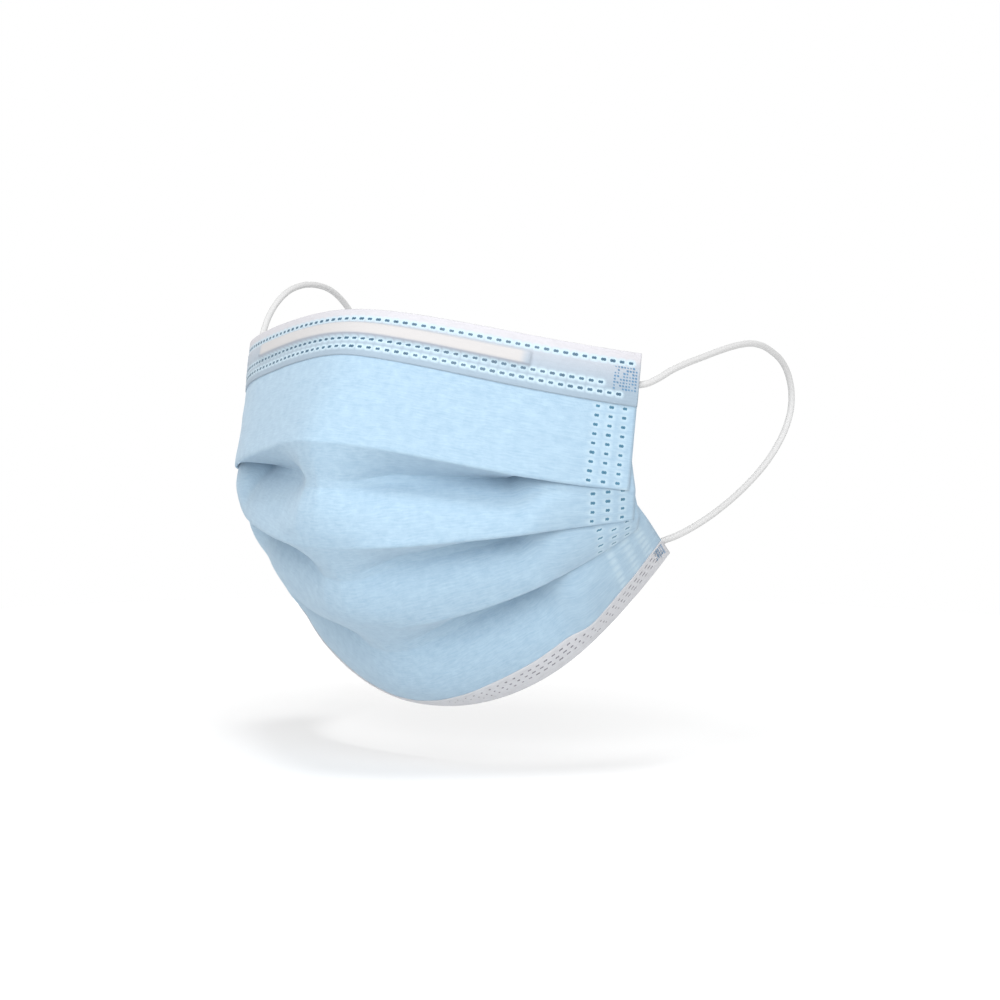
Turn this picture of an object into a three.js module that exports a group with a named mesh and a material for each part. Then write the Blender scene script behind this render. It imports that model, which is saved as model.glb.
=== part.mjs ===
// A pleated surgical face mask in the shape that it takes on a face: a blue body cloth with three
// pleats, folded hems at its top and bottom edges, a bendable nose wire in the top hem, and two round
// elastic ear loops welded inside the corners.
//
// Millimetres. +X is the wearer's left, -Y is the front, +Z is up. The origin is where the middle of
// the top edge sits on the bridge of the nose, on the wearer's side of the cloth.

import * as THREE from "three";

// Worn size of the mask
const halfSpan = 75.5; // from the middle to a side edge, measured straight across
const sideDepth = 75; // from the nose back to the lower corners, front to back
const wornHeight = 127; // from the top edge to the lowest hem, under the chin
const noseReach = 27; // how far the nose pushes the cloth forward of the top edge

// Cloth
const clothWall = 1;
const layerGap = 0.3; // clear space between two layers that lie on each other
const pleatDepth = 11;
const lowerChinBelly = 5; // how far the panel under the last pleat swells
const secondPanelBelly = 2;
const thirdPanelBelly = 3;

// Hems and nose wire
const topHemHeight = 16;
const bottomHemHeight = 10;
const innerHemHeight = 3; // how far a hem reaches down the wearer's side
const wireLength = 110;
const wireWidth = 3.5;
const wireThickness = 0.8;
const wireInset = 5.2; // from the top edge of the body cloth to the wire

// Ear loops
const loopDiameter = 2.1;
const loopSides = 8;
const loopStepLength = 3.2;
const loopEndLength = 9;
const loopEndWidth = 3.2;
const loopEndThickness = 1;
const loopEndInset = 1.2; // from the side edge to the end of the flattened cord
const upperLoopEndDrop = 9; // from the top edge to the middle of the flattened cord

// Fineness of the surfaces
const columnCount = 44;
const firstPanelSteps = 8;
const middlePanelSteps = 4;
const lastPanelSteps = 8;
const wireColumnCount = 30;
const endColumnCount = 3;
const lengthSteps = 400; // steps in which the length of a line is added up
const slopeStep = 0.01; // share of the half width over which a line's direction is taken

// Derived sizes
const layerPitch = clothWall + layerGap;
const seatDepth = layerPitch + clothWall / 2;
const wireOut = clothWall / 2 + layerGap + wireThickness / 2;
const hemOverWireOut = clothWall / 2 + 2 * layerGap + wireThickness + clothWall / 2;
const hemWireMargin = 1.3; // run of hem on each side of the wire where it drops back to the cloth
const loopEndOut = -(clothWall / 2 + layerGap + loopEndThickness / 2);
const lowerLoopEndRise = innerHemHeight + layerGap + loopEndWidth / 2; // clear of the folded hem

// Lines across the mask, from the top edge to the bottom edge.
// front: how far forward the middle lies, as a share of noseReach (negative is behind the top edge)
// drop: how far down the middle lies, as a share of wornHeight
// span: half width, as a share of halfSpan
// back: how far back the side edge lies, as a share of sideDepth
// sideDrop: how far down the side edge lies, as a share of wornHeight
// ridge: how softly the line turns at the middle, seen from above (0 is a sharp crease)
// brow: how softly it turns at the middle, seen from the front
// curl: share of the depth that is gained only near the side edges
// lift: share of the height that is gained only near the side edges
const lines = {
  top: {
    front: 0, drop: 0, span: 1, back: 0.547, sideDrop: 0.105,
    ridge: 0.35, brow: 0.35, curl: 0.25, lift: 0,
  },
  firstLip: {
    front: 0.95, drop: 0.302, span: 1, back: 0.457, sideDrop: 0.425,
    ridge: 0.1, brow: 0.25, curl: 0.25, lift: 0,
  },
  secondLip: {
    front: 0.8, drop: 0.56, span: 0.985, back: 0.52, sideDrop: 0.5,
    ridge: 0.35, brow: 0.6, curl: 0.25, lift: 0,
  },
  thirdLip: {
    front: 0, drop: 0.772, span: 0.955, back: 0.6, sideDrop: 0.528,
    ridge: 0.6, brow: 0.8, curl: 0.25, lift: 0.25,
  },
  bottom: {
    front: -1.42, drop: 1, span: 0.9, back: 0.95, sideDrop: 0.605,
    ridge: 0.9, brow: 1, curl: 0.8, lift: 0.45,
  },
};
const sideCurlPower = 6; // how closely the curl keeps to the side edges
const bellyFadeRun = 0.25; // share of the half width, at each side, over which the swelling fades

// Pleats: each is a flap that folds up behind its lip at the sides and swings down at the middle.
// flapTurn holds the flap's angle in degrees at each share of the half width in flapShares:
// 0 hangs on straight down from the lip, 90 points at the wearer, 180 lies flat behind the lip.
const flapShares = [0, 0.12, 0.3, 0.5, 0.7, 0.86, 1];
const layersBehindLip = 2.2; // layer pitches from a closed lip to the next panel behind it
const nearestClearShare = 0.12; // share of the next panel's run at which it comes clear of the lip
const furthestClearShare = 0.85;
const pleats = [
  {
    lip: lines.firstLip, next: lines.secondLip, belly: secondPanelBelly, steps: middlePanelSteps,
    flapTurn: [5, 12, 55, 72, 88, 165, 180],
  },
  {
    lip: lines.secondLip, next: lines.thirdLip, belly: thirdPanelBelly, steps: middlePanelSteps,
    flapTurn: [3, 10, 45, 62, 80, 165, 180],
  },
  {
    lip: lines.thirdLip, next: lines.bottom, belly: lowerChinBelly, steps: lastPanelSteps,
    flapTurn: [5, 10, 32, 60, 80, 165, 180],
  },
];

// Routes of the ear loops behind the mask, chosen by hand
const leftLoopRoute = [
  [73.6, 38.3, -22.3], [75, 40.5, -22.4], [76.1, 43.8, -21.8], [76.9, 48.4, -20.4],
  [77.5, 54.5, -18.4], [78.2, 62, -16.6], [79, 71, -14.9], [79.8, 80, -13.2], [80.4, 89, -11.9],
  [80.9, 98, -11.3], [81.1, 106, -12.2], [81.2, 113, -14.4], [81.2, 119.5, -17.6],
  [81.1, 124.4, -22.2], [81, 127, -28], [80.7, 127.1, -34.2], [80.2, 124.3, -40.4],
  [79.4, 119.6, -46.2], [78.4, 113.4, -51.6], [77.2, 106, -56.5], [75.9, 98, -60.9],
  [74.4, 89.5, -64.9], [73, 82.8, -67.7], [71.3, 77, -70], [69.4, 72.2, -71.8],
  [67.6, 68.4, -72.9], [66.4, 65.6, -73.7],
];
const rightLoopRoute = [
  [-73.6, 38.3, -22.3], [-74.9, 40.4, -21.6], [-75.9, 42.8, -19.2], [-76.7, 45, -15],
  [-77.3, 47.4, -9.8], [-77.7, 51, -4.2], [-78, 56.4, 0.9], [-78.3, 63.2, 4.6], [-78.5, 71, 6.4],
  [-78.7, 79, 6.4], [-78.8, 86.8, 4.8], [-78.8, 93.8, 1.2], [-78.8, 99.8, -4], [-78.7, 104.6, -10.6],
  [-78.5, 108, -18.2], [-78.2, 109.8, -26.4], [-77.8, 109.8, -34.8], [-77.2, 108, -42.8],
  [-76.3, 104.4, -50.2], [-75.2, 99, -56.8], [-74, 92.4, -62.2], [-72.4, 85, -66.6],
  [-70.8, 78, -69.9], [-69.2, 72.6, -71.8], [-67.6, 68.4, -72.9], [-66.4, 65.6, -73.7],
];

const clothBlue = 0xa9cfe6;
const hemWhite = 0xe6ecf3;
const lowerHemGrey = 0xd5d9de;
const wireCream = 0xebe8e3;
const elasticWhite = 0xf0f0ef;

// Height of a soft V, from 0 at the middle to 1 at the side
function softVee(share, softness) {
  const top = Math.sqrt(share * share + softness * softness) - softness;
  return top / (Math.sqrt(1 + softness * softness) - softness);
}

// Point of a line at a share of the half width, from -1 at the right edge to 1 at the left edge
function linePoint(line, share) {
  const reach = Math.abs(share);
  const curled = reach ** sideCurlPower;
  const depthShare = (1 - line.curl) * softVee(reach, line.ridge) + line.curl * curled;
  const heightShare = (1 - line.lift) * softVee(reach, line.brow) + line.lift * curled;
  const middleY = -seatDepth - line.front * noseReach;
  const middleZ = -line.drop * wornHeight;
  return new THREE.Vector3(
    line.span * halfSpan * share,
    THREE.MathUtils.lerp(middleY, line.back * sideDepth - seatDepth, depthShare),
    THREE.MathUtils.lerp(middleZ, -line.sideDrop * wornHeight, heightShare),
  );
}

// Unit vector along a line, towards the wearer's left
function alongLine(line, share) {
  const after = linePoint(line, share + slopeStep);
  return after.sub(linePoint(line, share - slopeStep)).normalize();
}

// The part of a vector that is square to a unit vector, as a unit vector
function squaredTo(vector, axis) {
  return vector.clone().addScaledVector(axis, -vector.dot(axis)).normalize();
}

// Unit vector at right angles to the cloth, towards the wearer
function towardsWearer(across, down) {
  return new THREE.Vector3().crossVectors(across, down).normalize();
}

// Value read from a row of values at shares of the half width
function valueAtShare(shares, values, share) {
  const last = shares.length - 1;
  const index = Math.min(last - 1, Math.max(0, shares.findIndex((edge) => edge >= share) - 1));
  const within = (share - shares[index]) / (shares[index + 1] - shares[index]);
  return THREE.MathUtils.lerp(values[index], values[index + 1], within);
}

// Points of one panel, below its first point, swelling away from the wearer between its two ends
function panelPoints(from, to, belly, steps, across, share) {
  const inward = towardsWearer(across, to.clone().sub(from));
  const sideFade = Math.min(1, (1 - Math.abs(share)) / bellyFadeRun);
  const points = [];
  for (let step = 1; step <= steps; step += 1) {
    const along = step / steps;
    const swell = -belly * 4 * along * (1 - along) * sideFade;
    points.push(from.clone().lerp(to, along).addScaledVector(inward, swell));
  }
  return points;
}

// Points of one pleat at a share of the half width: round the lip, up or out along the flap, round its
// root, and to the place where the next panel comes clear of the lip
function pleatPoints(pleat, share, pointAbove) {
  const lip = linePoint(pleat.lip, share);
  const next = linePoint(pleat.next, share);
  const across = alongLine(pleat.lip, share);
  const turn = THREE.MathUtils.degToRad(valueAtShare(flapShares, pleat.flapTurn, Math.abs(share)));
  const closed = (1 - Math.cos(turn)) / 2;

  const up = squaredTo(pointAbove.clone().sub(lip), across);
  const ahead = squaredTo(next.clone().sub(lip), across);
  const down = ahead.multiplyScalar(1 - closed).addScaledVector(up, -closed).normalize();
  const inward = towardsWearer(across, down);

  const bend = inward.clone().multiplyScalar(Math.sin(turn / 2) * layerPitch);
  bend.addScaledVector(down, Math.cos(turn / 2) * layerPitch);
  const flapStart = lip.clone().add(bend);
  const flapRoot = flapStart.clone().addScaledVector(inward, Math.sin(turn) * pleatDepth);
  flapRoot.addScaledVector(down, Math.cos(turn) * pleatDepth);
  const panelRoot = flapRoot.clone().add(bend);

  const panel = next.clone().sub(panelRoot);
  const riseToLip = Math.max(0, lip.clone().sub(panelRoot).dot(down));
  const clearShare = THREE.MathUtils.clamp(
    riseToLip / panel.dot(down), nearestClearShare, furthestClearShare,
  );
  const clearPoint = panelRoot.clone().addScaledVector(panel, clearShare);
  const depthBehindLip = clearPoint.clone().sub(lip).dot(inward);
  const push = Math.max(0, layersBehindLip * layerPitch - depthBehindLip) * closed ** 3;
  clearPoint.addScaledVector(inward, push);
  return { points: [flapStart, flapRoot, panelRoot, clearPoint], clearPoint, next, across };
}

// The whole body cloth at one share of the half width, from the top edge to the bottom edge
function bodyProfile(share) {
  const top = linePoint(lines.top, share);
  const firstLip = linePoint(lines.firstLip, share);
  const across = alongLine(lines.top, share);
  const profile = [top, ...panelPoints(top, firstLip, 0, firstPanelSteps, across, share)];
  for (const pleat of pleats) {
    const fold = pleatPoints(pleat, share, profile[profile.length - 2]);
    profile.push(...fold.points);
    profile.push(
      ...panelPoints(fold.clearPoint, fold.next, pleat.belly, pleat.steps, fold.across, share),
    );
  }
  return profile;
}

// Shares of the half width, evenly spaced from one to another
function evenShares(from, to, count) {
  return Array.from({ length: count + 1 }, (_, index) => from + ((to - from) * index) / count);
}

// Place on the body cloth at a distance from its top or bottom edge, with the directions there
function placeFromEdge(profile, distance) {
  let from = profile[0];
  let to = profile[1];
  let left = distance;
  for (let index = 1; index < profile.length - 1 && left > from.distanceTo(to); index += 1) {
    left -= from.distanceTo(to);
    from = profile[index];
    to = profile[index + 1];
  }
  const inwardAlong = to.clone().sub(from).normalize();
  return { point: from.clone().addScaledVector(inwardAlong, left), inwardAlong };
}

// Grid of points that follows an edge of the body cloth. Each step of the section is a distance from
// the edge and a distance out from the middle of the cloth, away from the wearer.
function gridAlongEdge(edge, shares, section) {
  return section.map(({ distance, out }) =>
    shares.map((share) => {
      const profile = bodyProfile(share);
      const isTop = edge === lines.top;
      const place = placeFromEdge(isTop ? profile : profile.reverse(), distance);
      const down = place.inwardAlong.clone().multiplyScalar(isTop ? 1 : -1);
      const inward = towardsWearer(alongLine(edge, share), down);
      return place.point.addScaledVector(inward, -out);
    }),
  );
}

// Closed wall round a grid of points, with square corners kept at full thickness
function wallRound(grid, wall) {
  const rowCount = grid.length;
  const columnCountHere = grid[0].length;
  const positions = [];
  const sharpestSpread = 0.6; // keeps the corner of a tight fold from running out to a spike

  function segmentNormal(row, column) {
    const left = Math.max(0, column - 1);
    const right = Math.min(columnCountHere - 1, column + 1);
    const across = grid[row][right].clone().sub(grid[row][left]);
    across.add(grid[row + 1][right]).sub(grid[row + 1][left]);
    const down = grid[row + 1][column].clone().sub(grid[row][column]);
    return towardsWearer(across, down);
  }

  for (const side of [-1, 1]) {
    for (let row = 0; row < rowCount; row += 1) {
      for (let column = 0; column < columnCountHere; column += 1) {
        const before = segmentNormal(Math.max(0, row - 1), column);
        const after = segmentNormal(Math.min(rowCount - 2, row), column);
        const middle = before.clone().add(after).normalize();
        const spread = Math.max(sharpestSpread, middle.dot(after));
        const point = grid[row][column].clone();
        point.addScaledVector(middle, (side * wall) / 2 / spread);
        positions.push(point.x, point.y, point.z);
      }
    }
  }

  const indices = [];
  const layerSize = rowCount * columnCountHere;
  const vertex = (layer, row, column) => layer * layerSize + row * columnCountHere + column;
  const addQuad = (a, b, c, d) => indices.push(a, b, c, a, c, d);
  for (let row = 0; row < rowCount - 1; row += 1) {
    for (let column = 0; column < columnCountHere - 1; column += 1) {
      addQuad(
        vertex(0, row, column), vertex(0, row + 1, column),
        vertex(0, row + 1, column + 1), vertex(0, row, column + 1),
      );
      addQuad(
        vertex(1, row, column), vertex(1, row, column + 1),
        vertex(1, row + 1, column + 1), vertex(1, row + 1, column),
      );
    }
  }
  const lastRow = rowCount - 1;
  const lastColumn = columnCountHere - 1;
  for (let column = 0; column < lastColumn; column += 1) {
    addQuad(
      vertex(0, 0, column), vertex(0, 0, column + 1),
      vertex(1, 0, column + 1), vertex(1, 0, column),
    );
    addQuad(
      vertex(0, lastRow, column), vertex(1, lastRow, column),
      vertex(1, lastRow, column + 1), vertex(0, lastRow, column + 1),
    );
  }
  for (let row = 0; row < lastRow; row += 1) {
    addQuad(vertex(0, row, 0), vertex(1, row, 0), vertex(1, row + 1, 0), vertex(0, row + 1, 0));
    addQuad(
      vertex(0, row, lastColumn), vertex(0, row + 1, lastColumn),
      vertex(1, row + 1, lastColumn), vertex(1, row, lastColumn),
    );
  }

  const geometry = new THREE.BufferGeometry();
  geometry.setAttribute("position", new THREE.Float32BufferAttribute(positions, 3));
  geometry.setIndex(indices);
  geometry.computeVertexNormals();
  return geometry;
}

function namedMesh(name, geometry, color, roughness) {
  const material = new THREE.MeshStandardMaterial({ color, roughness, metalness: 0 });
  const mesh = new THREE.Mesh(geometry, material);
  mesh.name = name;
  return mesh;
}

function pleatedPanel() {
  const columns = evenShares(-1, 1, columnCount).map(bodyProfile);
  const grid = columns[0].map((_, row) => columns.map((column) => column[row]));
  return namedMesh("pleated_panel", wallRound(grid, clothWall), clothBlue, 0.85);
}

// The inner ply folded over the top edge, standing out over the nose wire
function topHem() {
  const wireTop = wireInset - hemWireMargin / 2;
  const wireBottom = wireInset + wireWidth + hemWireMargin / 2;
  const section = [
    { distance: innerHemHeight, out: -layerPitch },
    { distance: -layerPitch / 2, out: -layerPitch },
    { distance: -layerPitch / 2, out: layerPitch },
    { distance: wireTop - hemWireMargin, out: layerPitch },
    { distance: wireTop, out: hemOverWireOut },
    { distance: wireBottom, out: hemOverWireOut },
    { distance: wireBottom + hemWireMargin, out: layerPitch },
    { distance: topHemHeight, out: layerPitch },
  ];
  const grid = gridAlongEdge(lines.top, evenShares(-1, 1, columnCount), section);
  return namedMesh("top_hem", wallRound(grid, clothWall), hemWhite, 0.8);
}

function bottomHem() {
  const section = [
    { distance: innerHemHeight, out: -layerPitch },
    { distance: -layerPitch / 2, out: -layerPitch },
    { distance: -layerPitch / 2, out: layerPitch },
    { distance: bottomHemHeight / 2, out: layerPitch },
    { distance: bottomHemHeight, out: layerPitch },
  ];
  const grid = gridAlongEdge(lines.bottom, evenShares(-1, 1, columnCount), section.reverse());
  return namedMesh("bottom_hem", wallRound(grid, clothWall), lowerHemGrey, 0.8);
}

// Length of a line from its middle to a side edge
function halfLength(line) {
  const points = evenShares(0, 1, lengthSteps).map((share) => linePoint(line, share));
  return points.slice(1).reduce((sum, point, index) => sum + point.distanceTo(points[index]), 0);
}

// Share of the half width that lies a given length along a line from its middle
function shareAtLength(line, length) {
  let travelled = 0;
  for (let step = 1; step <= lengthSteps; step += 1) {
    const share = step / lengthSteps;
    travelled += linePoint(line, share).distanceTo(linePoint(line, share - 1 / lengthSteps));
    if (travelled >= length) {
      return share;
    }
  }
  return 1;
}

function noseWire() {
  const reach = shareAtLength(lines.top, wireLength / 2);
  const section = [
    { distance: wireInset, out: wireOut },
    { distance: wireInset + wireWidth, out: wireOut },
  ];
  const grid = gridAlongEdge(lines.top, evenShares(-reach, reach, wireColumnCount), section);
  return namedMesh("nose_wire", wallRound(grid, wireThickness), wireCream, 0.45);
}

// Flattened end of a loop, welded flat on the wearer's side of a corner
function loopEnd(name, edge, distance, sideSign) {
  const sideLength = halfLength(edge);
  const outer = shareAtLength(edge, sideLength - loopEndInset);
  const inner = shareAtLength(edge, sideLength - loopEndInset - loopEndLength);
  const section = [
    { distance: distance - loopEndWidth / 2, out: loopEndOut },
    { distance: distance + loopEndWidth / 2, out: loopEndOut },
  ];
  const shares = sideSign > 0 ? [inner, outer] : [-outer, -inner];
  const steps = evenShares(shares[0], shares[1], endColumnCount);
  const grid = gridAlongEdge(edge, steps, edge === lines.top ? section : section.reverse());
  return namedMesh(name, wallRound(grid, loopEndThickness), elasticWhite, 0.7);
}

function earLoop(name, route) {
  const path = new THREE.CatmullRomCurve3(
    route.map((point) => new THREE.Vector3(...point)), false, "centripetal",
  );
  const section = new THREE.Shape();
  for (let side = 0; side < loopSides; side += 1) {
    const angle = (side / loopSides) * Math.PI * 2;
    const x = (Math.cos(angle) * loopDiameter) / 2;
    const y = (Math.sin(angle) * loopDiameter) / 2;
    if (side === 0) {
      section.moveTo(x, y);
    } else {
      section.lineTo(x, y);
    }
  }
  section.closePath();
  const steps = Math.round(path.getLength() / loopStepLength);
  const geometry = new THREE.ExtrudeGeometry(section, {
    steps, bevelEnabled: false, extrudePath: path, curveSegments: 1,
  });
  return namedMesh(name, geometry, elasticWhite, 0.75);
}

const mask = new THREE.Group();
mask.add(pleatedPanel());
mask.add(topHem());
mask.add(bottomHem());
mask.add(noseWire());
mask.add(earLoop("ear_loop_left", leftLoopRoute));
mask.add(earLoop("ear_loop_right", rightLoopRoute));
for (const [side, sideSign] of [["left", 1], ["right", -1]]) {
  mask.add(loopEnd(`loop_end_upper_${side}`, lines.top, upperLoopEndDrop, sideSign));
  mask.add(loopEnd(`loop_end_lower_${side}`, lines.bottom, lowerLoopEndRise, sideSign));
}

export default mask;
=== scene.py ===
"""A pleated surgical face mask in its worn shape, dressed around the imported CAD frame.

Metres. +X is the wearer's left, -Y is the front, +Z is up. The origin is where the middle of the top
edge sits on the bridge of the nose.
"""

import functools
import math
import random

import bmesh
import bpy
import numpy as np
from bpy.props import FloatProperty, FloatVectorProperty, IntProperty, PointerProperty
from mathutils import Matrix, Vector, kdtree, noise


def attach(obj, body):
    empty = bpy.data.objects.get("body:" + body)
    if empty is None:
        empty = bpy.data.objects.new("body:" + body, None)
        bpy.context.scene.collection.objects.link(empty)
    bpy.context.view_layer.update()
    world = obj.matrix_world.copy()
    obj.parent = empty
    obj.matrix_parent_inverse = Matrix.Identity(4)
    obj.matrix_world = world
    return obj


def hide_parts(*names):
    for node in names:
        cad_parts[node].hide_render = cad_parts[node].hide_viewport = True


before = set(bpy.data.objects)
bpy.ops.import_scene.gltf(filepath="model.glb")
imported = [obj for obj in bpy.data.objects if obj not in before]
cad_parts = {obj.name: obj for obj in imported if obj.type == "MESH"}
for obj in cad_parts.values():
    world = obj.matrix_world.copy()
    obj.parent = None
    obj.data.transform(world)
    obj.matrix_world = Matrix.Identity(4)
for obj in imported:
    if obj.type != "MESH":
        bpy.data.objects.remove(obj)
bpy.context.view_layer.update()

bl_info = {
    "name": "Pleated face mask",
    "version": (1, 0, 0),
    "blender": (4, 5, 0),
    "location": "3D View > Sidebar > Mask",
    "description": "Builds a pleated face mask with hems, nose wire, weld lines and ear loops",
    "category": "Object",
}

MM = 0.001
LINE_FIELDS = ("front", "drop", "span", "back", "side_drop", "ridge", "brow", "curl", "lift")
# Lines across the mask, as in the CAD source. front is a share of the nose reach, drop and side_drop of
# the worn height, span of the half span and back of the side depth. ridge and brow say how softly the
# line turns at the middle, and curl and lift what share of its run is gained only near the side edges.
LINES = {
    "top": (0, 0, 1, 0.547, 0.105, 0.35, 0.35, 0.25, 0),
    "first_lip": (0.95, 0.302, 1, 0.457, 0.425, 0.1, 0.25, 0.25, 0),
    "second_lip": (0.8, 0.56, 0.985, 0.52, 0.5, 0.35, 0.6, 0.25, 0),
    "third_lip": (0, 0.772, 0.955, 0.6, 0.528, 0.6, 0.8, 0.25, 0.25),
    "bottom": (-1.42, 1, 0.9, 0.95, 0.605, 0.9, 1, 0.8, 0.45),
}
SIDE_CURL_POWER = 6
SLOPE_STEP = 0.01
BELLY_FADE_RUN = 0.25  # share of the half width, at each side, over which the swelling fades
# How far each pleat's flap has turned, in degrees, at these shares of the half width: 0 hangs on down
# from the lip and 180 lies flat behind it.
FLAP_SHARES = (0, 0.12, 0.3, 0.5, 0.7, 0.86, 1)
PLEATS = (
    {"lip": "first_lip", "next": "second_lip", "belly": 2 * MM, "turn": (5, 12, 55, 72, 88, 165, 180)},
    {"lip": "second_lip", "next": "third_lip", "belly": 3 * MM, "turn": (3, 10, 45, 62, 80, 165, 180)},
    {"lip": "third_lip", "next": "bottom", "belly": 5 * MM, "turn": (5, 10, 32, 60, 80, 165, 180)},
)
# Routes of the ear loops, the same points as in the CAD source
LEFT_LOOP = (
    (0.0736, 0.0383, -0.0223), (0.075, 0.0405, -0.0224), (0.0761, 0.0438, -0.0218),
    (0.0769, 0.0484, -0.0204), (0.0775, 0.0545, -0.0184), (0.0782, 0.062, -0.0166),
    (0.079, 0.071, -0.0149), (0.0798, 0.08, -0.0132), (0.0804, 0.089, -0.0119),
    (0.0809, 0.098, -0.0113), (0.0811, 0.106, -0.0122), (0.0812, 0.113, -0.0144),
    (0.0812, 0.1195, -0.0176), (0.0811, 0.1244, -0.0222), (0.081, 0.127, -0.028),
    (0.0807, 0.1271, -0.0342), (0.0802, 0.1243, -0.0404), (0.0794, 0.1196, -0.0462),
    (0.0784, 0.1134, -0.0516), (0.0772, 0.106, -0.0565), (0.0759, 0.098, -0.0609),
    (0.0744, 0.0895, -0.0649), (0.073, 0.0828, -0.0677), (0.0713, 0.077, -0.07),
    (0.0694, 0.0722, -0.0718), (0.0676, 0.0684, -0.0729), (0.0664, 0.0656, -0.0737),
)
RIGHT_LOOP = (
    (-0.0736, 0.0383, -0.0223), (-0.0749, 0.0404, -0.0216), (-0.0759, 0.0428, -0.0192),
    (-0.0767, 0.045, -0.015), (-0.0773, 0.0474, -0.0098), (-0.0777, 0.051, -0.0042),
    (-0.078, 0.0564, 0.0009), (-0.0783, 0.0632, 0.0046), (-0.0785, 0.071, 0.0064),
    (-0.0787, 0.079, 0.0064), (-0.0788, 0.0868, 0.0048), (-0.0788, 0.0938, 0.0012),
    (-0.0788, 0.0998, -0.004), (-0.0787, 0.1046, -0.0106), (-0.0785, 0.108, -0.0182),
    (-0.0782, 0.1098, -0.0264), (-0.0778, 0.1098, -0.0348), (-0.0772, 0.108, -0.0428),
    (-0.0763, 0.1044, -0.0502), (-0.0752, 0.099, -0.0568), (-0.074, 0.0924, -0.0622),
    (-0.0724, 0.085, -0.0666), (-0.0708, 0.078, -0.0699), (-0.0692, 0.0726, -0.0718),
    (-0.0676, 0.0684, -0.0729), (-0.0664, 0.0656, -0.0737),
)


def linear(hex_code):
    """sRGB hex colour as linear red, green, blue and alpha."""
    channels = [int(hex_code[i:i + 2], 16) / 255 for i in (1, 3, 5)]
    curved = [c / 12.92 if c <= 0.04045 else ((c + 0.055) / 1.055) ** 2.4 for c in channels]
    return (*curved, 1.0)


def colour_property(name, description, hex_code):
    return FloatVectorProperty(
        name=name, description=description, subtype="COLOR", size=4, min=0, max=1,
        default=linear(hex_code),
    )


def length_property(name, description, metres):
    return FloatProperty(
        name=name, description=description, unit="LENGTH", precision=5, min=0, default=metres,
    )


class MaskClothSizes(bpy.types.PropertyGroup):
    """Sizes of the body cloth."""

    half_span: length_property("Half span", "Middle to a side edge, straight across", 75.5 * MM)
    side_depth: length_property("Side depth", "Nose back to the lower corners", 75 * MM)
    worn_height: length_property("Worn height", "Top edge to the lowest hem", 127 * MM)
    nose_reach: length_property("Nose reach", "How far the nose pushes the cloth forward", 27 * MM)
    seat_depth: length_property("Seat depth", "Wearer's side to the middle of the cloth", 1.8 * MM)
    pleat_depth: length_property("Pleat depth", "Height of a folded flap", 11 * MM)
    flat_half_width: length_property("Flat half width", "Half the cut width", 87.5 * MM)
    flat_height: length_property("Flat height", "Cut height with the pleats opened", 165 * MM)
    wall: length_property("Wall", "Thickness of the three plies together", 0.45 * MM)
    layer_pitch: length_property("Layer pitch", "Middle to middle of two layers", 0.8 * MM)
    side_pitch: length_property("Side pitch", "The same where the sides are welded", 0.52 * MM)
    dent_depth: length_property("Dent depth", "Height of the broad dents in the cloth", 0.7 * MM)
    crease_depth: length_property("Crease depth", "Height of the small creases", 0.16 * MM)


class MaskHemSizes(bpy.types.PropertyGroup):
    """Sizes of the hems and the nose wire."""

    top_height: length_property("Top hem", "Height of the top hem", 16 * MM)
    bottom_height: length_property("Bottom hem", "Height of the bottom hem", 10 * MM)
    inner_height: length_property("Inner hem", "How far a hem reaches inside", 3 * MM)
    wire_length: length_property("Wire length", "Length of the nose wire", 110 * MM)
    wire_width: length_property("Wire width", "Width of the nose wire", 3.5 * MM)
    wire_thickness: length_property("Wire thickness", "Thickness of the nose wire", 0.8 * MM)
    wire_inset: length_property("Wire inset", "Top edge to the wire", 5.2 * MM)
    lift: length_property("Lift", "Middle of the body cloth to the middle of a hem", 0.45 * MM)


class MaskWeldSizes(bpy.types.PropertyGroup):
    """Sizes of the weld marks."""

    pitch: length_property("Pitch", "From one weld mark to the next", 2.92 * MM)
    length: length_property("Length", "Length of a weld mark", 1.65 * MM)
    width: length_property("Width", "Width of a weld mark", 0.92 * MM)
    overlap: length_property("Overlap", "Overlap of the two dots of a mark", 0.25 * MM)
    thin_width: length_property("Thin mark width", "Width of a slanted or lower hem mark", 0.55 * MM)
    height: length_property("Height", "Height of the fused film of a mark", 0.06 * MM)
    depth: length_property("Depth", "How far a weld presses the cloth in", 0.14 * MM)
    halo: length_property("Halo", "Reach of the thinned cloth round a mark", 1.5 * MM)
    dot: length_property("Dot", "Size of a dot of the corner welds", 0.58 * MM)
    dot_pitch: length_property("Dot pitch", "From one corner dot to the next", 0.95 * MM)
    dots_kept: FloatProperty(name="Dots kept", description="Share of the corner dots made", default=0.82)
    seed: IntProperty(name="Seed", description="Seed of the uneven corner dots", default=4)


class MaskLoopSizes(bpy.types.PropertyGroup):
    """Sizes of the ear loops."""

    diameter: length_property("Diameter", "Diameter of the elastic", 2.1 * MM)
    end_length: length_property("End length", "Length of a flattened end", 9 * MM)
    end_width: length_property("End width", "Width of a flattened end", 3.2 * MM)
    end_thickness: length_property("End thickness", "Thickness of a flattened end", 1 * MM)
    end_inset: length_property("End inset", "Side edge to the flattened end", 1.2 * MM)
    upper_drop: length_property("Upper drop", "Top edge to the flattened end", 9 * MM)
    rib_pitch: length_property("Rib pitch", "From one knitted rib to the next", 0.8 * MM)


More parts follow.
